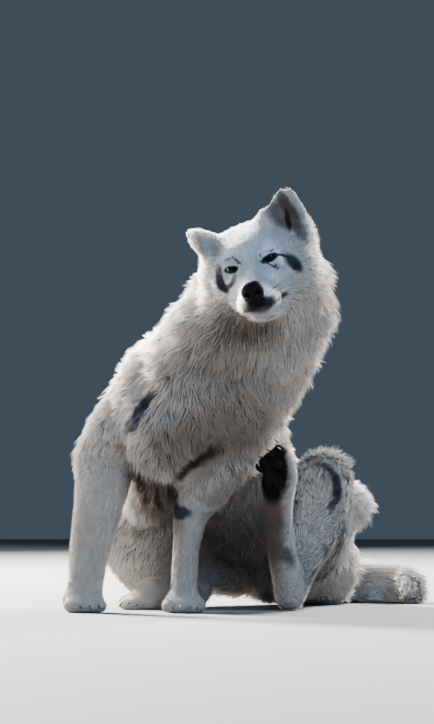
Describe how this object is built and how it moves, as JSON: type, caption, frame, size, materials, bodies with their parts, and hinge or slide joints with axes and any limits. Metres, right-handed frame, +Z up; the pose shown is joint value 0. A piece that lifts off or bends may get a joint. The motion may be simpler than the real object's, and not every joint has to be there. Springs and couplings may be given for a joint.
{
  "type": "arctic wolf",
  "caption": "Life-size still model of an arctic wolf, seated with one hind foot lifted after a scratch and the head tilted.",
  "frame": {"origin": "middle of the model's box in X and Y, at the floor it rests on", "axes": "+Z up, -Y the way the chest and face look, +X the wolf's left"},
  "size_m": [0.7406, 0.9438, 0.8152],
  "materials": {
    "white_coat": "matte dense fur",
    "eye": "wet gloss",
    "nose_leather": "moist, fine grained",
    "claw_horn": "satin horn",
    "pad_leather": "matte, rough"
  },
  "bodies": {
    "root": {"claw_forepaw_left_1": "claw_horn", "claw_forepaw_left_2": "claw_horn", "claw_forepaw_left_3": "claw_horn", "claw_forepaw_left_4": "claw_horn", "claw_forepaw_right_1": "claw_horn", "claw_forepaw_right_2": "claw_horn", "claw_forepaw_right_3": "claw_horn", "claw_forepaw_right_4": "claw_horn", "claw_hind_paw_left_1": "claw_horn", "claw_hind_paw_left_2": "claw_horn", "claw_hind_paw_left_3": "claw_horn", "claw_hind_paw_left_4": "claw_horn", "claw_hind_paw_right_1": "claw_horn", "claw_hind_paw_right_2": "claw_horn", "claw_hind_paw_right_3": "claw_horn", "claw_hind_paw_right_4": "claw_horn", "ear_left": "white_coat", "ear_right": "white_coat", "eye_left": "eye", "eye_right": "eye", "forearm_left": "white_coat", "forearm_right": "white_coat", "forepaw_left": "white_coat", "forepaw_right": "white_coat", "head": "white_coat", "hind_paw_left": "white_coat", "hind_paw_right": "white_coat", "metatarsus_left": "white_coat", "metatarsus_right": "white_coat", "neck": "white_coat", "nose": "nose_leather", "pad_main": "pad_leather", "pad_toe_1": "pad_leather", "pad_toe_2": "pad_leather", "pad_toe_3": "pad_leather", "pad_toe_4": "pad_leather", "shin_left": "white_coat", "shin_right": "white_coat", "tail": "white_coat", "thigh_left": "white_coat", "thigh_right": "white_coat", "trunk": "white_coat", "upper_arm_left": "white_coat", "upper_arm_right": "white_coat"}
  },
  "joints": []
}
